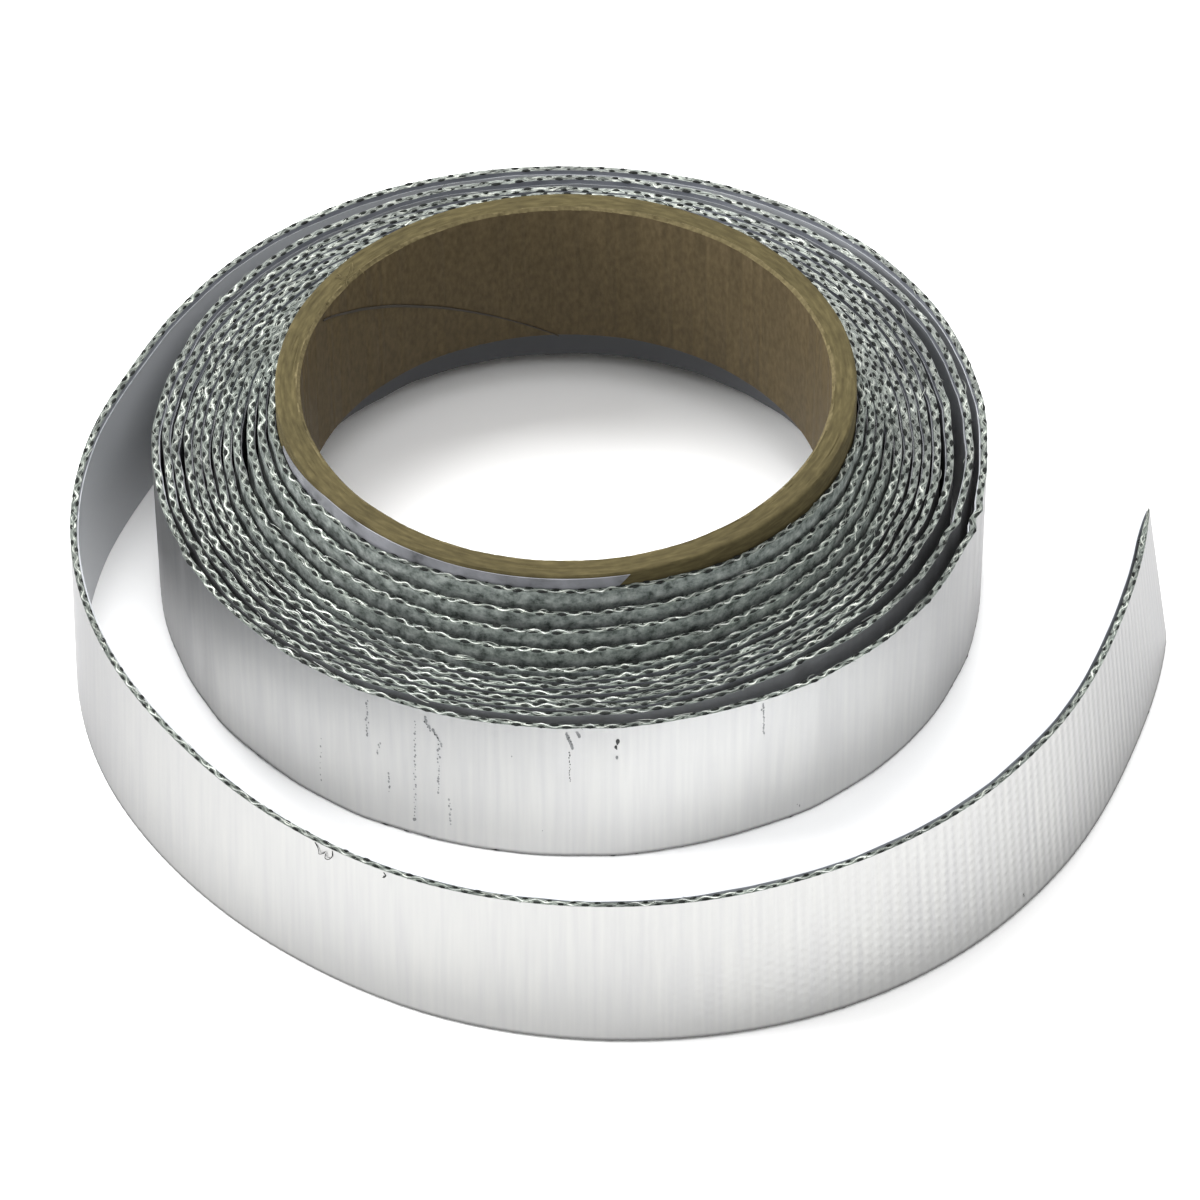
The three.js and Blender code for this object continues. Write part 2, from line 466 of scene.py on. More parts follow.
def makeLiner():
    deselectAll()
    thick = liner["thickness"]
    depth = cloth["thickness"] + liner["gap"] + thick / 2
    height = liner["high"] - liner["low"]
    bpy.ops.mesh.primitive_cube_add(
        size=1, location=(clothCell / 2, depth, liner["low"] + height / 2), scale=(clothCell, thick, height))
    film = nameIt("linerStrip")
    settle(film)
    bpy.ops.object.mode_set(mode="EDIT")
    bpy.ops.mesh.select_all(action="SELECT")
    bpy.ops.mesh.bisect(plane_co=(clothCell / 2, 0, 0), plane_no=(1, 0, 0))
    bpy.ops.mesh.select_all(action="DESELECT")
    bpy.ops.object.mode_set(mode="OBJECT")
    for face in film.data.polygons:
        face.select = abs(face.normal.x) > 0.9
    bpy.ops.object.mode_set(mode="EDIT")
    bpy.ops.mesh.select_mode(type="FACE")
    bpy.ops.mesh.delete(type="FACE")
    bpy.ops.object.mode_set(mode="OBJECT")
    repeatAlong(film, clothCells, clothCell)
    closeShell(film)
    points = readPoints(film)
    x = points[:, 0]
    tailStart, tailStop = (along(angle) for angle in liner["tailFrom"])
    onTail = np.clip((x - tailStart) / (tailStop - tailStart), 0, 1)
    lowEdge = points[:, 2] < 1 * mm
    points[~lowEdge, 2] += liner["tailRise"] * onTail[~lowEdge]
    innerFace = points[:, 1] > depth
    points[innerFace, 1] += liner["tailThicker"] * onTail[innerFace]
    looseStart, looseStop = (along(angle) for angle in liner["looseFrom"])
    loose = np.clip((x - looseStart) / (looseStop - looseStart), 0, 1)
    points[:, 1] += liner["looseBy"] * loose * np.clip(points[:, 2] / liner["high"], 0, 1) ** 2
    points[lowEdge, 2] += wobble(x, 31, (0.011, 0.03 * mm), (0.037, 0.04 * mm))[lowEdge]
    points[~lowEdge, 2] += wobble(x, 32, (0.013, 0.04 * mm), (0.041, 0.06 * mm))[~lowEdge]
    writePoints(film, points)
    stripUv(film)
    return film


tapeStrip = makeTape()
splitBySide(tapeStrip)
taperEnd(tapeStrip)
windOn(tapeStrip)
print("tape strip wound,", clothCells, "weave repeats")
edgeYarns = []
weftEnds = []
for name, height, flip, seed in (
    ("Upper", cloth["width"] - cloth["yarnInset"], 1, 21),
    ("Lower", cloth["yarnInset"], -1, 25),
):
    edgeYarns.append(makeYarn(f"edgeYarn{name}", height, seed, cloth["yarnRadius"], 1, 5, 8))
    strandHeight = height + flip * cloth["strandRise"]
    edgeYarns.append(makeYarn(
        f"looseStrand{name}", strandHeight, seed + 50, cloth["strandRadius"], -1, 3, 8))
    weftEnds.append(makeWeftEnds(f"weftEnds{name}", height + flip * cloth["eyeRise"], seed + 40))
for piece in (*edgeYarns, *weftEnds):
    taperEnd(piece)
    windOn(piece)
print("edge yarns and weft ends wound")
linerStrip = makeLiner()
taperEnd(linerStrip)
windOn(linerStrip)
print("liner wound")


# loose glass fibres along the cut edge, and threads that stick out of it

fuzz = {
    "count": 950,
    "onTail": 0.06,  # share of them
    "radius": 0.042 * mm,
    "reach": (0.8 * mm, 3.2 * mm),
    "rise": 0.35 * mm,
    "aside": 0.35 * mm,
    "curl": 0.25 * mm,
    "strayRadius": 0.06 * mm,
    "strayWave": 0.25 * mm,
    "strays": [  # angle, height, run along the strip, out of the face, up, all mm but the angle
        (226, 24.7, -1.6, -2.2, 0.9),
        (225.5, 24.8, 2.6, -1.9, 0.8),
        (-2052, 24.9, 0.5, 2.4, 0.6),
        (607.8, 24.6, 1.6, 0.2, -1.6),
        (609.6, 24.6, -1.2, 0.2, -1.9),
        (614.6, 24.5, 0.2, 0.1, -0.9),
        (704, 24.6, 1.3, -1.2, 0.6),
    ],
}


def addFibre(curve, points):
    spline = curve.splines.new("POLY")
    spline.points.add(len(points) - 1)
    for knot, place in zip(spline.points, points):
        knot.co = (*place, 1)


def makeFibres(name, radius, routes):
    curve = bpy.data.curves.new(name, "CURVE")
    curve.dimensions = "3D"
    curve.bevel_depth = radius
    curve.bevel_resolution = 0
    curve.use_fill_caps = True
    for points in routes:
        addFibre(curve, points)
    fibres = bpy.data.objects.new(name, curve)
    bpy.context.scene.collection.objects.link(fibres)
    pick(fibres)
    bpy.ops.object.convert(target="MESH")
    return nameIt(name)


def windFibres(name, radius, routes):
    fibres = makeFibres(name, radius, routes)
    stripUv(fibres)
    windOn(fibres)
    return fibres


def fuzzRoutes():
    draw = random.Random(9)
    top = cloth["width"] + 0.03 * mm
    for k in range(fuzz["count"]):
        x = draw.uniform(0.02 * tapeLength, along(480))
        if draw.random() < fuzz["onTail"]:
            x = draw.uniform(along(480), 0.99 * tapeLength)
        y = draw.uniform(0.05, 0.95) * cloth["thickness"]
        reach = draw.uniform(*fuzz["reach"]) * draw.choice((-1, 1))
        aside = draw.gauss(0, fuzz["aside"])
        rise = draw.uniform(0.1, 1) * fuzz["rise"]
        curl = draw.uniform(-fuzz["curl"], fuzz["curl"])
        route = []
        for step in range(7):
            t = step / 6
            route.append((
                x + reach * t, y + aside * t + curl * math.sin(math.pi * t),
                top + rise * math.sin(math.pi * t) * (1 - 0.3 * t)))
        yield route


def strayRoutes():
    for angle, height, run, out, up in fuzz["strays"]:
        x = along(angle)
        route = []
        for step in range(13):
            t = step / 12
            route.append((
                x + run * mm * t + fuzz["strayWave"] * math.sin(7 * t), -out * mm * math.sin(2.2 * t),
                height * mm + up * mm * math.sin(2.6 * t)))
        yield route


looseFibres = windFibres("looseFibres", fuzz["radius"], fuzzRoutes())
strayThreads = windFibres("strayThreads", fuzz["strayRadius"], strayRoutes())
print("fibres made")


# marks on the foil: dotted columns, dark and faint, placed one by one

scuffs = {
    # angle at the top and the bottom, height at the top and the bottom in mm, dots, dot size in mm
    "dark": [
        (251.2, 251.5, 23.4, 21.6, 4, 0.14),
        (252.4, 253.1, 21.0, 18.7, 4, 0.13),
        (270.4, 270.6, 20.6, 14.4, 15, 0.1),
        (270.2, 270.9, 23.8, 21.8, 5, 0.11),
        (276.9, 276.9, 22.2, 20.7, 4, 0.24),
        (276.9, 276.9, 22.4, 22.0, 2, 0.34),
        (266.9, 266.9, 4.8, 4.8, 1, 0.11),
        (672, 672.2, 2.4, 1.6, 2, 0.14),
    ],
    "faint": [
        (243.1, 242.9, 23.6, 16.2, 14, 0.2),
        (244.6, 244.5, 16.0, 13.2, 6, 0.18),
        (245.9, 245.9, 10.7, 6.6, 7, 0.18),
        (249.9, 249.5, 22.6, 3.1, 30, 0.17),
        (249.4, 249.4, 3.0, 2.6, 2, 0.35),
        (251.1, 251.8, 23.9, 21.0, 7, 0.24),
        (252.2, 253.4, 21.8, 18.4, 8, 0.24),
        (252.9, 252.8, 18.4, 9.1, 17, 0.19),
        (254.3, 254.4, 8.8, 3.3, 9, 0.19),
        (270.0, 270.9, 24.2, 21.0, 10, 0.28),
        (271.2, 271.9, 24.3, 23.2, 5, 0.26),
        (276.9, 276.9, 19.4, 18.9, 3, 0.3),
        (296.3, 296.5, 24.3, 18.0, 18, 0.16),
        (263.1, 263.1, 18.8, 18.8, 1, 0.16),
        (235.2, 234.8, 12.0, 3.0, 8, 0.15),
        (301.5, 302.5, 2.2, 1.2, 3, 0.18),
    ],
    "proud": 0.012 * mm,
    "faintProud": 0.7,  # share of that for the faint ones
    "lift": 0.004 * mm,
    "scatter": 0.09 * mm,
    "sizes": (0.55, 1.35),  # least and greatest, as shares
    "shape": (0.75, 1.2),  # along the strip and up it
    "apart": 10,  # metres between the dots until each is moved to its place
}


def makeScuffs():
    draw = random.Random(17)
    dots = []
    for topAngle, lowAngle, top, low, count, size in scuffs["dark"] + scuffs["faint"]:
        for k in range(count):
            share = (k + draw.uniform(0.2, 0.8)) / count
            x = along(topAngle + (lowAngle - topAngle) * share) + draw.gauss(0, scuffs["scatter"])
            z = (top + (low - top) * share) * mm
            dots.append((x, z, size * mm * draw.uniform(*scuffs["sizes"])))
    darkDots = sum(column[4] for column in scuffs["dark"])
    deselectAll()
    bpy.ops.mesh.primitive_uv_sphere_add(segments=8, ring_count=4, radius=1)
    dot = nameIt("scuffs")
    apart = scuffs["apart"]
    repeatAlong(dot, len(dots), apart, merge=False)
    points = readPoints(dot)
    which = np.clip(np.round(points[:, 0] / apart).astype(int), 0, len(dots) - 1)
    x, z, size = np.array(dots)[which].T
    long, high = scuffs["shape"]
    proud = scuffs["proud"] * np.where(which < darkDots, 1, scuffs["faintProud"])
    points[:, 0] = x + (points[:, 0] - apart * which) * size * long
    points[:, 1] = points[:, 1] * proud + scuffs["lift"]
    points[:, 2] = z + points[:, 2] * size * high
    writePoints(dot, points)
    for face in dot.data.polygons:
        face.material_index = 0 if which[face.vertices[0]] < darkDots else 1
    stripUv(dot)
    windOn(dot)
    return dot


scuffMarks = makeScuffs()
print("scuffs made")


# cardboard core

coreTube = {
    "inner": 38.1 * mm,
    "outer": 41.7 * mm,
    "low": 11 * mm,
    "high": 36 * mm,
    "rounding": 0.45 * mm,
    "plies": 7,
    "steps": 360,
    # a line slants down the bore, taken for the seam of the innermost ply: angle and height where it shows
    "seamFrom": (158, 34.6 * mm),
    "seamTo": (92, 11.2 * mm),
    "seamWidth": 0.45 * mm,
    "seamDrift": 0.12 * mm,
    # relief of the rims in mm: even, slow, fine, and on every other ply
    "relief": (0.03, 0.06, 0.04, 0.05),
    "cornerLoss": (0.1, 0.5),  # more in mm at the inner corner: even and fine
    "outOfRound": 0.12 * mm,
    # bare torn paper at the inner corner of the upper rim: height, width and how that comes and goes
    "tornHigh": 0.8 * mm,
    "tornWide": 0.5,
    "tornChange": 0.35,
}


def makeCore():
    deselectAll()
    inner, outer = coreTube["inner"], coreTube["outer"]
    low, high, soft = coreTube["low"], coreTube["high"], coreTube["rounding"]
    wall = outer - inner
    bpy.ops.mesh.primitive_plane_add(size=1)
    tube = nameIt("coreTube")
    bpy.ops.object.mode_set(mode="EDIT")
    bpy.ops.mesh.select_all(action="SELECT")
    bpy.ops.transform.resize(value=(wall, high - low, 1))
    bpy.ops.mesh.bevel(offset=soft, segments=3, affect="VERTICES")
    bpy.ops.mesh.delete(type="ONLY_FACE")
    bpy.ops.object.mode_set(mode="OBJECT")
    for edge in tube.data.edges:
        start, end = (tube.data.vertices[v].co for v in edge.vertices)
        edge.select = abs(start.y - end.y) < 0.01 * mm
    bpy.ops.object.mode_set(mode="EDIT")
    bpy.ops.mesh.subdivide(number_cuts=coreTube["plies"] * 2)
    bpy.ops.mesh.select_all(action="SELECT")
    bpy.ops.transform.rotate(value=-math.pi / 2, orient_axis="X", center_override=(0, 0, 0))
    bpy.ops.transform.translate(value=(rollAxis.x + inner + wall / 2, rollAxis.y, (low + high) / 2))
    bpy.ops.mesh.spin(
        steps=coreTube["steps"], angle=2 * math.pi, center=(rollAxis.x, rollAxis.y, 0), axis=(0, 0, 1))
    bpy.ops.mesh.select_all(action="SELECT")
    bpy.ops.mesh.remove_doubles(threshold=0.00001)
    bpy.ops.mesh.normals_make_consistent(inside=False)
    bpy.ops.object.mode_set(mode="OBJECT")
    return tube


def polar(points):
    x = points[:, 0] - rollAxis.x
    y = points[:, 1] - rollAxis.y
    return np.hypot(x, y), np.degrees(np.arctan2(y, x)) % 360


def roughenCore(tube):
    points = readPoints(tube)
    radius, angle = polar(points)
    share = (radius - coreTube["inner"]) / (coreTube["outer"] - coreTube["inner"])
    ply = np.round(share * (coreTube["plies"] * 2 + 1))
    even, slow, fine, striped = coreTube["relief"]
    cornerEven, cornerFine = coreTube["cornerLoss"]
    for level, side in ((coreTube["high"], 1), (coreTube["low"], -1)):
        for i in np.flatnonzero(np.abs(points[:, 2] - level) < 0.3 * mm):
            turn = math.radians(angle[i])
            place = Vector((math.cos(turn), math.sin(turn), 0))
            slowNoise = noise.noise(place * 6 + Vector((0, 0, 3.7 * ply[i])))
            fineNoise = noise.noise(place * 45 + Vector((0, 0, 5.1 * ply[i])))
            drop = (even + slow * slowNoise + fine * fineNoise + striped * (ply[i] % 2)) * mm
            if share[i] < 0.12:
                drop += (cornerEven + cornerFine * max(0, fineNoise)) * mm
            points[i, 2] -= side * max(0, drop)
    soft = np.array([noise.noise(Vector((0.09 * a, 60 * z, 0))) for a, z in zip(angle, points[:, 2])])
    wide = 1 + coreTube["outOfRound"] * soft / radius
    points[:, 0] = rollAxis.x + (points[:, 0] - rollAxis.x) * wide
    points[:, 1] = rollAxis.y + (points[:, 1] - rollAxis.y) * wide
    writePoints(tube, points)


def rimUv(tube):
    points = readPoints(tube)
    radius, angle = polar(points)
    layer = tube.data.uv_layers.new(name="rimMap")
    for face in tube.data.polygons:
        middle = polar(np.array([face.center]))[1][0]
        for loop in face.loop_indices:
            corner = tube.data.loops[loop].vertex_index
            turn = middle + (angle[corner] - middle + 180) % 360 - 180
            layer.data[loop].uv = (math.radians(turn) * coreTube["outer"], radius[corner] + points[corner, 2])


def ribbonOnCylinder(name, centreLine, width, radius, thickness, slant=0):
    deselectAll()
    steps = len(centreLine) - 1
    bpy.ops.mesh.primitive_grid_add(x_subdivisions=steps, y_subdivisions=1, size=1)
    ribbon = nameIt(name)
    points = readPoints(ribbon)
    at = np.round((points[:, 0] + 0.5) * steps).astype(int)
    angle = np.radians(np.array([p[0] for p in centreLine])[at] + slant * points[:, 1] * at / steps)
    height = np.array([p[1] for p in centreLine])[at]
    widths = np.array([width(k / steps) for k in range(steps + 1)])[at]
    points[:, 2] = height + points[:, 1] * widths
    points[:, 0] = rollAxis.x + radius * np.cos(angle)
    points[:, 1] = rollAxis.y + radius * np.sin(angle)
    writePoints(ribbon, points)
    shell = ribbon.modifiers.new("shell", "SOLIDIFY")
    shell.thickness = thickness
    shell.offset = 0
    applyAll(ribbon)
    closeShell(ribbon, fillHoles=False)
    return ribbon


def makeSeam():
    (fromAngle, fromHeight), (toAngle, toHeight) = coreTube["seamFrom"], coreTube["seamTo"]
    line = []
    steps = 80
    for k in range(steps + 1):
        share = k / steps
        drift = coreTube["seamDrift"] * noise.noise(Vector((9 * share, 0, 0)))
        angle = fromAngle + (toAngle - fromAngle) * share
        line.append((angle, fromHeight + (toHeight - fromHeight) * share + drift))

    def width(share):
        return coreTube["seamWidth"] * (0.35 + 0.65 * math.sin(math.pi * min(1, 0.15 + share))) + 0.05 * mm

    return ribbonOnCylinder("coreSeam", line, width, coreTube["inner"] - 0.1 * mm, 0.08 * mm)


starterFilm = {
    # a strip of smooth film lies on the core above the first turn and is cut off slanting
    "from": 196,
    "to": 280,
    "upper": 35.5 * mm,
    "slant": 5,  # degrees that the cut at its end slants by
    "width": 4.4 * mm,
    "startDrop": 0.5 * mm,  # it rises by this much over the first quarter
}


def makeStarterFilm():
    line = []
    span = starterFilm["to"] - starterFilm["from"]
    steps = 60
    for k in range(steps + 1):
        share = k / steps
        drop = starterFilm["startDrop"] * (1 - min(1, share / 0.25))
        middle = starterFilm["upper"] - starterFilm["width"] / 2 - drop
        line.append((starterFilm["from"] + span * share, middle))

    def width(share):
        return starterFilm["width"] * min(1, 0.2 + share / 0.3)

    return ribbonOnCylinder(
        "starterFilm", line, width, coreTube["outer"] + 0.09 * mm, 0.12 * mm, starterFilm["slant"])


tuft = {
    # a few paper fibres torn up at the inner corner of the rim
    "strands": 14,
    "radius": 0.05 * mm,
    "angles": (141, 147),
    "inFromBore": (0.3, 1.2),  # mm
    "turn": 3.5,  # degrees that a fibre runs round the rim, either way
    "out": (-1.2, 1.5),  # mm
    "rise": (0.1, 0.5),  # mm
}


def tuftRoutes():
    draw = random.Random(5)
    for k in range(tuft["strands"]):
        angle = draw.uniform(*tuft["angles"])
        radius = coreTube["inner"] + draw.uniform(*tuft["inFromBore"]) * mm
        turn = draw.uniform(-tuft["turn"], tuft["turn"])
        out = draw.uniform(*tuft["out"]) * mm
        rise = draw.uniform(*tuft["rise"]) * mm
        route = []
        for step in range(6):
            t = step / 5
            at = math.radians(angle + turn * t)
            reach = radius + out * t * t
            route.append((rollAxis.x + reach * math.cos(at), rollAxis.y + reach * math.sin(at),
                          coreTube["high"] - 0.1 * mm + rise * math.sin(2.6 * t)))
        yield route


core = makeCore()
roughenCore(core)
rimUv(core)
coreSeam = makeSeam()
rimTuft = makeFibres("rimTuft", tuft["radius"], tuftRoutes())
film = makeStarterFilm()
print("core made")


# materials

def linear(hexColour):
    channels = [int(hexColour[i:i + 2], 16) / 255 for i in (1, 3, 5)]
    return tuple(c / 12.92 if c <= 0.04045 else ((c + 0.055) / 1.055) ** 2.4 for c in channels) + (1.0,)


def addNode(tree, kind, settings=None, links=None):
    node = tree.nodes.new(kind)
    for key, value in (settings or {}).items():
        if isinstance(key, int) or key in node.inputs:
            node.inputs[key].default_value = value
        else:
            setattr(node, key, value)
    for key, source in (links or {}).items():
        tree.links.new(source, node.inputs[key])
    return node


def newMaterial(name, surface):
    material = bpy.data.materials.new(name)
    material.use_nodes = True
    tree = material.node_tree
    shader = next(n for n in tree.nodes if n.type == "BSDF_PRINCIPLED")
    for key, value in surface.items():
        shader.inputs[key].default_value = value
    return material, tree, shader


def ramp(tree, fac, *stops):
    node = addNode(tree, "ShaderNodeValToRGB", {}, {"Fac": fac})
    elements = node.color_ramp.elements
    while len(elements) < len(stops):
        elements.new(0.5)
    for element, (place, colour) in zip(elements, stops):
        element.position = place
        element.color = linear(colour)
    return node


def mapRange(tree, value, fromRange, toRange):
    settings = dict(zip(("From Min", "From Max", "To Min", "To Max"), (*fromRange, *toRange)))
    return addNode(tree, "ShaderNodeMapRange", settings, {"Value": value}).outputs["Result"]


foilLook = {
    "edgeTint": "#b4b4b6",  # grey, so that it doesn't go white at a glancing angle
    "clean": [(0.3, "#b8b8b8"), (0.5, "#bcbcbb"), (0.7, "#c0c0be")],
    "mottled": [(0.36, "#5d6460"), (0.5, "#a3aaa6"), (0.64, "#d0d5d1")],
    "mottledTo": (-2100, -1800),  # angles over which the mottled foil of the inner turns ends
    "roughness": (0.37, 0.6),  # clean and mottled
    # a fitted tone: under these lights the tail comes out brighter than in the photograph, so its
    # colour is toned down to match. For even foil, make every stop white
    "tail": (500, 709),
    "tailTone": [(0.0, "#ffffff"), (0.22, "#dcdcdc"), (0.6, "#e4e4e4"), (0.78, "#f1f1f1"), (0.97, "#ffffff")],
    "brickHeight": 0.8,  # mm, the weave's half repeat up the strip
    "weaveFrom": (622, 662),  # angles over which the weave comes to show
    "weaveStrength": (0.12, 0.95),
    "weaveDepth": 0.045 * mm,
    "creasesFrom": (19.0, 24.5),  # mm up the strip over which the creases get stronger
    "creaseStrength": (0.13, 0.5),
    "creaseDepth": 0.15 * mm,
    "streakDepth": 0.04 * mm,
    "lowLine": (0.1, 0.6),  # mm up the strip over which the dark line of the lower edge ends
    "lowLineTone": 0.4,
}


def makeFoil():
    # soft aluminium foil pressed onto woven glass: bright, with the weave faint under it. On the inner
    # turns, which have slid up, it looks duller and mottled
    material, tree, shader = newMaterial(
        "aluminiumFoil", {"Metallic": 1.0, "Specular Tint": linear(foilLook["edgeTint"])})
    place = addNode(tree, "ShaderNodeUVMap", {"uv_map": "stripMap"})
    run = addNode(tree, "ShaderNodeSeparateXYZ", {}, {"Vector": place.outputs["UV"]}).outputs["X"]
    inMm = addNode(tree, "ShaderNodeVectorMath", {"operation": "SCALE", "Scale": 1 / mm},
                   {"Vector": place.outputs["UV"]})
    axes = addNode(tree, "ShaderNodeSeparateXYZ", {}, {"Vector": inMm.outputs["Vector"]})
    acrossTurn = addNode(tree, "ShaderNodeMath",
                         {"operation": "MULTIPLY", 1: math.pi / (cloth["weftPitch"] / mm)},
                         {0: axes.outputs["X"]})
    upTurn = addNode(tree, "ShaderNodeMath",
                     {"operation": "MULTIPLY", 1: math.pi / foilLook["brickHeight"]},
                     {0: axes.outputs["Y"]})
    across = addNode(tree, "ShaderNodeMath", {"operation": "COSINE"}, {0: acrossTurn.outputs["Value"]})
    up = addNode(tree, "ShaderNodeMath", {"operation": "COSINE"}, {0: upTurn.outputs["Value"]})
    bricks = addNode(tree, "ShaderNodeMath", {"operation": "MULTIPLY"},
                     {0: across.outputs["Value"], 1: up.outputs["Value"]})
    ribs = addNode(tree, "ShaderNodeMath", {"operation": "MULTIPLY"},
                   {0: across.outputs["Value"], 1: across.outputs["Value"]})
    weave = addNode(tree, "ShaderNodeMath", {"operation": "MULTIPLY_ADD", 1: 0.3},
                    {0: bricks.outputs["Value"], 2: ribs.outputs["Value"]})
    creases = addNode(tree, "ShaderNodeTexNoise", {"Scale": 0.35, "Detail": 8.0, "Roughness": 0.62},
                      {"Vector": inMm.outputs["Vector"]})
    drawn = addNode(tree, "ShaderNodeMapping", {"Scale": (1.1, 0.045, 1)}, {"Vector": inMm.outputs["Vector"]})
    streaks = addNode(tree, "ShaderNodeTexNoise", {"Scale": 1.0, "Detail": 3.0},
                      {"Vector": drawn.outputs["Vector"]})
    patches = addNode(tree, "ShaderNodeTexNoise", {"Scale": 0.5, "Detail": 8.0, "Roughness": 0.7},
                      {"Vector": inMm.outputs["Vector"]})
    clean = ramp(tree, streaks.outputs["Fac"], *foilLook["clean"])
    mottled = ramp(tree, patches.outputs["Fac"], *foilLook["mottled"])
    inner = mapRange(tree, run, [along(angle) for angle in foilLook["mottledTo"]], (1.0, 0.0))
    tone = addNode(tree, "ShaderNodeMix", {"data_type": "RGBA"})
    tree.links.new(inner, tone.inputs["Factor"])
    tree.links.new(clean.outputs["Color"], tone.inputs[6])
    tree.links.new(mottled.outputs["Color"], tone.inputs[7])
    rough = mapRange(tree, inner, (0.0, 1.0), foilLook["roughness"])
    onTail = mapRange(tree, run, [along(angle) for angle in foilLook["tail"]], (0.0, 1.0))
    tailTone = ramp(tree, onTail, *foilLook["tailTone"])
    toned = addNode(tree, "ShaderNodeVectorMath", {"operation": "MULTIPLY"},
                    {0: tone.outputs[2], 1: tailTone.outputs["Color"]})
    lowLine = mapRange(tree, axes.outputs["Y"], foilLook["lowLine"], (foilLook["lowLineTone"], 1.0))
    lined = addNode(tree, "ShaderNodeVectorMath", {"operation": "SCALE"},
                    {0: toned.outputs["Vector"], "Scale": lowLine})
    weaveShows = mapRange(tree, run, [along(angle) for angle in foilLook["weaveFrom"]],
                          foilLook["weaveStrength"])
    creased = mapRange(tree, axes.outputs["Y"], foilLook["creasesFrom"], foilLook["creaseStrength"])
    bumpWeave = addNode(tree, "ShaderNodeBump", {"Distance": foilLook["weaveDepth"]},
                        {"Height": weave.outputs["Value"], "Strength": weaveShows})
    bumpStreaks = addNode(tree, "ShaderNodeBump", {"Strength": 0.06, "Distance": foilLook["streakDepth"]},
                          {"Height": streaks.outputs["Fac"], "Normal": bumpWeave.outputs["Normal"]})
    bump = addNode(tree, "ShaderNodeBump", {"Distance": foilLook["creaseDepth"]},
                   {"Height": creases.outputs["Fac"], "Strength": creased,
                    "Normal": bumpStreaks.outputs["Normal"]})
    tree.links.new(lined.outputs["Vector"], shader.inputs["Base Color"])
    tree.links.new(rough, shader.inputs["Roughness"])
    tree.links.new(bump.outputs["Normal"], shader.inputs["Normal"])
    return material


def makeSpeckled(name, colours, scale, surface, bumpStrength, bumpDistance, stretch=(1, 1, 1), stains=1.0,
                 uvMap=None):
    material, tree, shader = newMaterial(name, surface)
    place = addNode(tree, "ShaderNodeTexCoord")
    source = place.outputs["Object"]
    if uvMap:
        source = addNode(tree, "ShaderNodeUVMap", {"uv_map": uvMap}).outputs["UV"]
    drawn = addNode(tree, "ShaderNodeMapping", {"Scale": stretch}, {"Vector": source})
    speckle = addNode(tree, "ShaderNodeTexNoise", {"Scale": scale, "Detail": 6.0},
                      {"Vector": drawn.outputs["Vector"]})
    tone = ramp(tree, speckle.outputs["Fac"], *colours)
    patches = addNode(tree, "ShaderNodeTexNoise", {"Scale": 110.0, "Detail": 4.0},
                      {"Vector": place.outputs["Object"]})
    dim = mapRange(tree, patches.outputs["Fac"], (0.38, 0.6), (stains, 1.0))
    stained = addNode(tree, "ShaderNodeVectorMath", {"operation": "SCALE"},
                      {0: tone.outputs["Color"], "Scale": dim})
    bump = addNode(tree, "ShaderNodeBump", {"Strength": bumpStrength, "Distance": bumpDistance},
                   {"Height": speckle.outputs["Fac"]})
    tree.links.new(stained.outputs["Vector"], shader.inputs["Base Color"])
    tree.links.new(bump.outputs["Normal"], shader.inputs["Normal"])
    return material


foil = makeFoil()
# the cut edge of the glass cloth between the yarns: grey-green and uneven
cutCloth = makeSpeckled("cutGlassCloth", [(0.3, "#343a36"), (0.5, "#555c57"), (0.7, "#80877f")], 900,
                        {"Roughness": 0.4}, 0.8, 0.0001, stains=0.65)
# the tape's sticky side, smooth and grey
adhesive = makeSpeckled("acrylicAdhesive", [(0.35, "#6b6e76"), (0.65, "#7d8088")], 200,
                        {"Roughness": 0.35}, 0.1, 0.0001)
# warp yarns at the cut edges: bundles of glass fibre, pale where they catch the light
glassYarn = makeSpeckled("glassYarn", [(0.3, "#4a504c"), (0.5, "#8c928b"), (0.66, "#d2d6cd")], 650,
                        {"Roughness": 0.28, "Specular IOR Level": 0.7}, 0.6, 0.00008, stains=0.55)
# what is taken to be the cut ends of the weft: dark and without shine
weftDark = makeSpeckled("cutWeftEnds", [(0.35, "#0c0e0d"), (0.65, "#1e211f")], 900,
                        {"Roughness": 0.7, "Specular IOR Level": 0.15}, 0.4, 0.00005)


def makeLinerFilm():
    # release film: smooth and grey, with a soft sheen; its colour carries painted shade, dark in the roll and
    # pale on the tail
    material, tree, shader = newMaterial("releaseFilm", {"Roughness": 0.32})
    place = addNode(tree, "ShaderNodeUVMap", {"uv_map": "stripMap"})
    axes = addNode(tree, "ShaderNodeSeparateXYZ", {}, {"Vector": place.outputs["UV"]})
    # painted shade: dark where the film is wound into the roll, pale out on the tail
    wound = mapRange(tree, axes.outputs["X"], [along(angle) for angle in liner["paintedShadeFrom"]], (0.0, 1.0))
    tone = ramp(tree, wound, *liner["paintedShadeTones"])
    tree.links.new(tone.outputs["Color"], shader.inputs["Base Color"])
    return material


linerFilm = makeLinerFilm()
# the strip of film round the core: smooth and grey, and mottled
filmStrip = makeSpeckled("starterFilm", [(0.3, "#47484a"), (0.42, "#6b6c70"), (0.65, "#818287")], 230,
                         {"Roughness": 0.35}, 0.3, 0.0003)
# kraft board: dull brown, with its fibres running round the rim
board = makeSpeckled("kraftBoard", [(0.3, "#3e3722"), (0.5, "#484129"), (0.7, "#544c32")], 1700,
                     {"Roughness": 0.85, "Specular IOR Level": 0.15}, 0.35, 0.00012, (0.22, 1, 1),
                     stains=0.85, uvMap="rimMap")
# the smooth brown liner ply inside the bore
innerPly = makeSpeckled("kraftLinerPly", [(0.3, "#433926"), (0.7, "#524732")], 1500,
                        {"Roughness": 0.7, "Specular IOR Level": 0.15}, 0.2, 0.00006, (1, 1, 0.5))
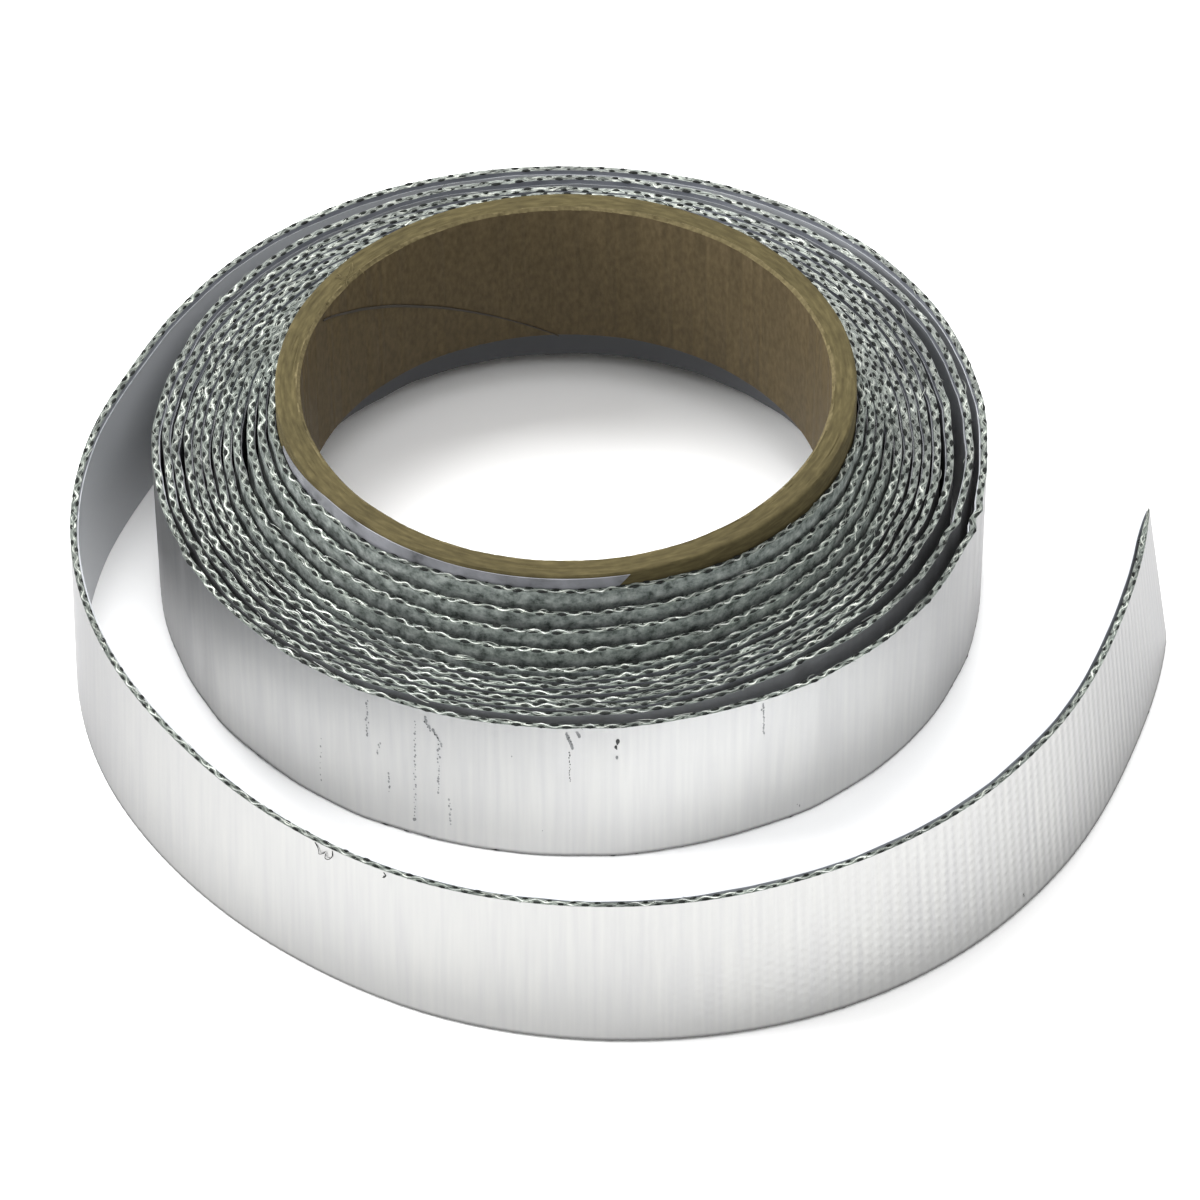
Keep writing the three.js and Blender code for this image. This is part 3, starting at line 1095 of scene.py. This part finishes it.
# torn paper at the inner corner of the rim, paler than the skin of the board
tornPaper = makeSpeckled("tornPaper", [(0.3, "#4c442d"), (0.7, "#645b40")], 1400,
                         {"Roughness": 0.9, "Specular IOR Level": 0.2}, 0.5, 0.0001)
# marks on the foil, taken to be dirt: dark and dull
dirt = makeSpeckled("rubbedDirt", [(0.3, "#1a1a1b"), (0.7, "#3c3d3e")], 900, {"Roughness": 0.6}, 0.1, 0.00005)
# the fainter ones
faintDirt = makeSpeckled("faintDirt", [(0.3, "#6c6d6e"), (0.7, "#8f9091")], 900,
                         {"Roughness": 0.5}, 0.1, 0.00005)
# glue along the seam of the ply: a thin dark line
glueLine = makeSpeckled("seamGlue", [(0.3, "#1d1609"), (0.7, "#2c2212")], 1200,
                        {"Roughness": 0.6}, 0.2, 0.0001)


def dress(piece, *materials):
    indices = [p.material_index for p in piece.data.polygons]
    piece.data.materials.clear()
    for material in materials:
        piece.data.materials.append(material)
    piece.data.polygons.foreach_set("material_index", indices)
    pick(piece)
    bpy.ops.object.shade_smooth_by_angle(angle=math.radians(50))


def splitCore(tube):
    for face in tube.data.polygons:
        radius, angle = polar(np.array([face.center]))
        depth = radius[0] - coreTube["inner"]
        nearTop = face.center.z > coreTube["high"] - coreTube["tornHigh"]
        ragged = coreTube["tornWide"] + coreTube["tornChange"] * noise.noise(Vector((0.12 * angle[0], 0, 0)))
        corner = nearTop and depth < ragged * mm
        face.material_index = 2 if corner else 1 if depth < 0.2 * mm else 0


splitCore(core)
dress(tapeStrip, foil, cutCloth, adhesive)
for piece in edgeYarns:
    dress(piece, glassYarn)
for piece in weftEnds:
    dress(piece, weftDark)
dress(linerStrip, linerFilm)
dress(core, board, innerPly, tornPaper)
dress(coreSeam, glueLine)
dress(rimTuft, tornPaper)
dress(film, filmStrip)
dress(looseFibres, glassYarn)
dress(strayThreads, weftDark)
dress(scuffMarks, dirt, faintDirt)


# who rides on what

for piece in (tapeStrip, *edgeYarns, *weftEnds, film, looseFibres, strayThreads, scuffMarks):
    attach(piece, "root")
    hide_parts("tape")
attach(linerStrip, "root")
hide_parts("release_liner")
for piece in (core, coreSeam, rimTuft):
    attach(piece, "root")
    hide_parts("core")
bpy.data.objects.remove(windingPath)


# floor, light and sky

studio = {
    "floorSize": 4.0,
    "floorDrop": 0.1 * mm,  # under the part, so that no two faces share a plane
    "skyStrength": 0.85,
    "lampsAimAt": (0, 0, 0),
    "lamps": [  # name, place, size and power
        ("backSoftbox", (-0.15, 0.55, 1.1), 0.7, 18),
        ("leftSoftbox", (-0.8, 0.0, 0.5), 0.4, 9),
        ("frontSoftbox", (0.2, -0.55, 1.15), 0.8, 5),
    ],
}
deselectAll()
bpy.ops.mesh.primitive_plane_add(size=studio["floorSize"], location=(0, 0, -studio["floorDrop"]))
floor = nameIt("studioFloor")
# matt white, so that nothing is mirrored in it
floorPaper = newMaterial("whiteFloor", {"Base Color": linear("#ffffff"), "Roughness": 0.9})[0]
floor.data.materials.append(floorPaper)
for name, place, size, power in studio["lamps"]:
    data = bpy.data.lights.new(name, "AREA")
    data.shape = "SQUARE"
    data.size = size
    data.energy = power
    lamp = bpy.data.objects.new(name, data)
    lamp.location = place
    lamp.rotation_euler = (Vector(studio["lampsAimAt"]) - Vector(place)).to_track_quat("-Z", "Y").to_euler()
    bpy.context.scene.collection.objects.link(lamp)
world = bpy.data.worlds.new("studioSky")
world.use_nodes = True
world.node_tree.nodes["Background"].inputs["Color"].default_value = linear("#ffffff")
world.node_tree.nodes["Background"].inputs["Strength"].default_value = studio["skyStrength"]
bpy.context.scene.world = world
bpy.context.scene.view_settings.view_transform = "Standard"

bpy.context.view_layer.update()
for piece in (tapeStrip, *edgeYarns, *weftEnds, linerStrip, core, looseFibres, scuffMarks):
    print(piece.name, sum(len(p.vertices) - 2 for p in piece.data.polygons), "triangles")
